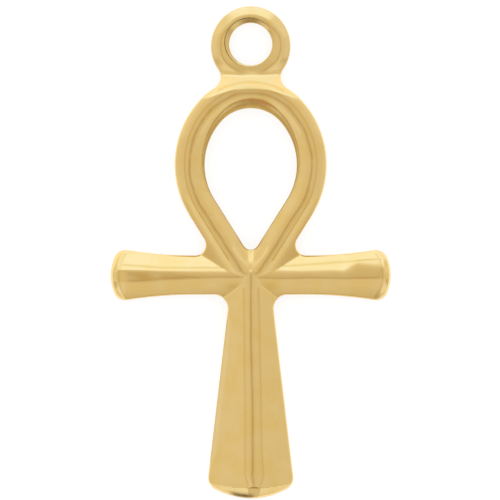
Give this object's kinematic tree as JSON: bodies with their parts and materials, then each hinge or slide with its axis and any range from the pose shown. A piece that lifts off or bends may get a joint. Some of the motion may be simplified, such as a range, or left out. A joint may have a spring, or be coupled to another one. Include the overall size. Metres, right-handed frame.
{
  "type": "ankh pendant",
  "caption": "Gold ankh pendant in one piece: a ridged looped cross with flared arms and leg, a flat back and a round eye at its top for a jump ring.",
  "frame": {"origin": "on the flat back, at the middle of the pendant's length and width", "axes": "+Z out of the front, +Y towards the eye at the top, +X to the right of someone who looks at the front"},
  "size_m": [0.02, 0.0352, 0.0025],
  "materials": {
    "gold": "gold-plated brass, polished"
  },
  "bodies": {
    "root": {"ankh": "gold"}
  },
  "joints": []
}
